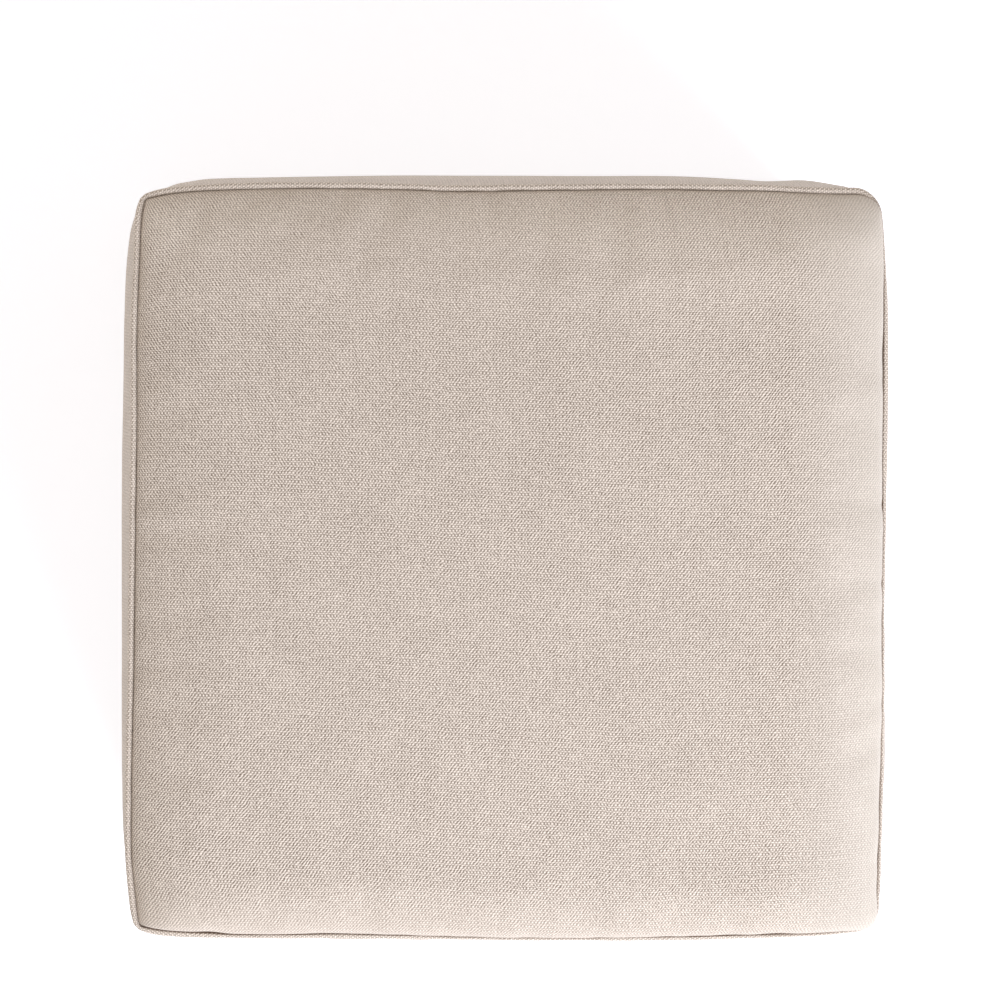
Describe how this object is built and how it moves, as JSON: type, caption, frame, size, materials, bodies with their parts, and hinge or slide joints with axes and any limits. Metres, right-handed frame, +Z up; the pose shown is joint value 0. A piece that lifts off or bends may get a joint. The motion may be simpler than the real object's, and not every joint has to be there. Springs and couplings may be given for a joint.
{
  "type": "cube pouf stool",
  "caption": "Cube pouf stool in woven cloth, softly filled, with a crowned seat, bulging sides, a flat base and self piping round the seat and base seams.",
  "frame": {"origin": "on the floor under the middle of the pouf: the bottom centre of its bounding box", "axes": "+Z up, out of the seat; +X to the right and +Y to the back, which are the picture's right and top"},
  "size_m": [0.4634, 0.4663, 0.45],
  "materials": {
    "top_cloth": "matte pebbly basket weave in warm beige",
    "side_cloth": "matte pebbly basket weave in warm beige",
    "base_cloth": "matte weave in warm beige, lying flat",
    "piping_cloth": "the same weave wrapped round a thin cord, its floats slanting along it"
  },
  "bodies": {
    "root": {"top_panel": "top_cloth", "boxing": "side_cloth", "base_panel": "base_cloth", "piping_top": "piping_cloth", "piping_base": "piping_cloth"}
  },
  "joints": []
}
